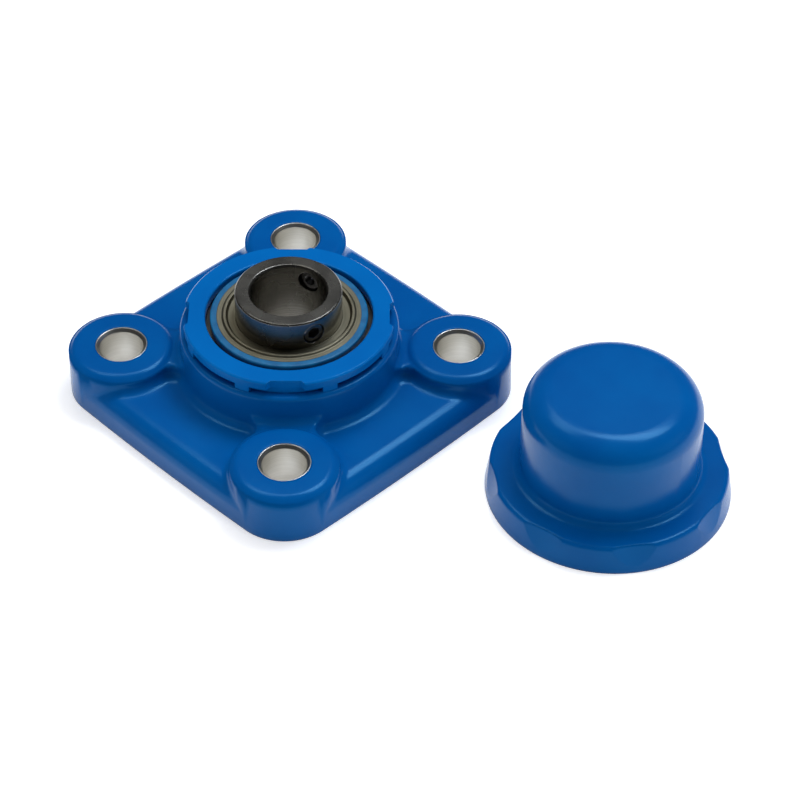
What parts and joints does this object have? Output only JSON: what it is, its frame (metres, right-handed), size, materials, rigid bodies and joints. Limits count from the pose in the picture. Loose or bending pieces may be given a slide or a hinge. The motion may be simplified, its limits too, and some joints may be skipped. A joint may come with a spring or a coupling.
{
  "type": "four-bolt flange bearing",
  "caption": "Square plastic flange bearing unit with a self-aligning insert bearing in its hub and a domed end cover taken off beside it.",
  "frame": {"origin": "centre of the flange's back face, on the bearing's axis", "axes": "+Z along the shaft, away from the mounting face; X and Y parallel to the flange's sides"},
  "size_m": [0.1642, 0.1103, 0.0333],
  "materials": {
    "blue_plastic": "satin moulded thermoplastic",
    "bearing_steel": "ground, dark",
    "sleeve_steel": "bright",
    "ball_steel": "polished",
    "screw_steel": "black oxide",
    "flinger_sheet": "passivated, dull",
    "lip_rubber": "moulded",
    "seal_rubber": "moulded",
    "cage_nylon": "moulded nylon"
  },
  "bodies": {
    "housing_body": {"housing": "blue_plastic", "retaining_ring": "blue_plastic", "bolt_sleeve_1": "sleeve_steel", "bolt_sleeve_2": "sleeve_steel", "bolt_sleeve_3": "sleeve_steel", "bolt_sleeve_4": "sleeve_steel", "base_seal": "seal_rubber"},
    "insert_body": {"outer_ring": "bearing_steel", "front_seal": "seal_rubber", "rear_seal": "seal_rubber"},
    "inner_body": {"inner_ring": "bearing_steel", "front_flinger": "flinger_sheet", "rear_flinger": "flinger_sheet", "front_flinger_lip": "lip_rubber", "rear_flinger_lip": "lip_rubber"},
    "cage_body": {"ball_cage": "cage_nylon", "ball_1": "ball_steel", "ball_2": "ball_steel", "ball_3": "ball_steel", "ball_4": "ball_steel", "ball_5": "ball_steel", "ball_6": "ball_steel", "ball_7": "ball_steel", "ball_8": "ball_steel"},
    "grub_screw_1_body": {"grub_screw_1": "screw_steel"},
    "grub_screw_2_body": {"grub_screw_2": "screw_steel"},
    "cover_body": {"end_cover": "blue_plastic", "cover_seal": "seal_rubber"}
  },
  "joints": [
    {"name": "self_align", "type": "hinge", "parent": "housing_body", "child": "insert_body", "pos_m": [0, 0, 0.015], "axis": [1, 0, 0], "range_deg": [-5, 5]},
    {"name": "shaft_spin", "type": "hinge", "parent": "insert_body", "child": "inner_body", "pos_m": [0, 0, 0.015], "axis": [0, 0, 1], "continuous": true},
    {"name": "cage_spin", "type": "hinge", "parent": "insert_body", "child": "cage_body", "pos_m": [0, 0, 0.015], "axis": [0, 0, 1], "continuous": true},
    {"name": "grub_screw_1_travel", "type": "slide", "parent": "inner_body", "child": "grub_screw_1_body", "axis": [0.9659, -0.2588, 0], "range_m": [-0.0004, 0.003]},
    {"name": "grub_screw_2_travel", "type": "slide", "parent": "inner_body", "child": "grub_screw_2_body", "axis": [-0.2588, 0.9659, 0], "range_m": [-0.0004, 0.003]},
    {"name": "cover_lift", "type": "slide", "parent": "housing_body", "child": "cover_body", "axis": [0, 0, 1], "range_m": [0, 0.05]}
  ],
  "couplings": [
    {"joint": "cage_spin", "follows": "shaft_spin", "ratio": 0.3815}
  ]
}
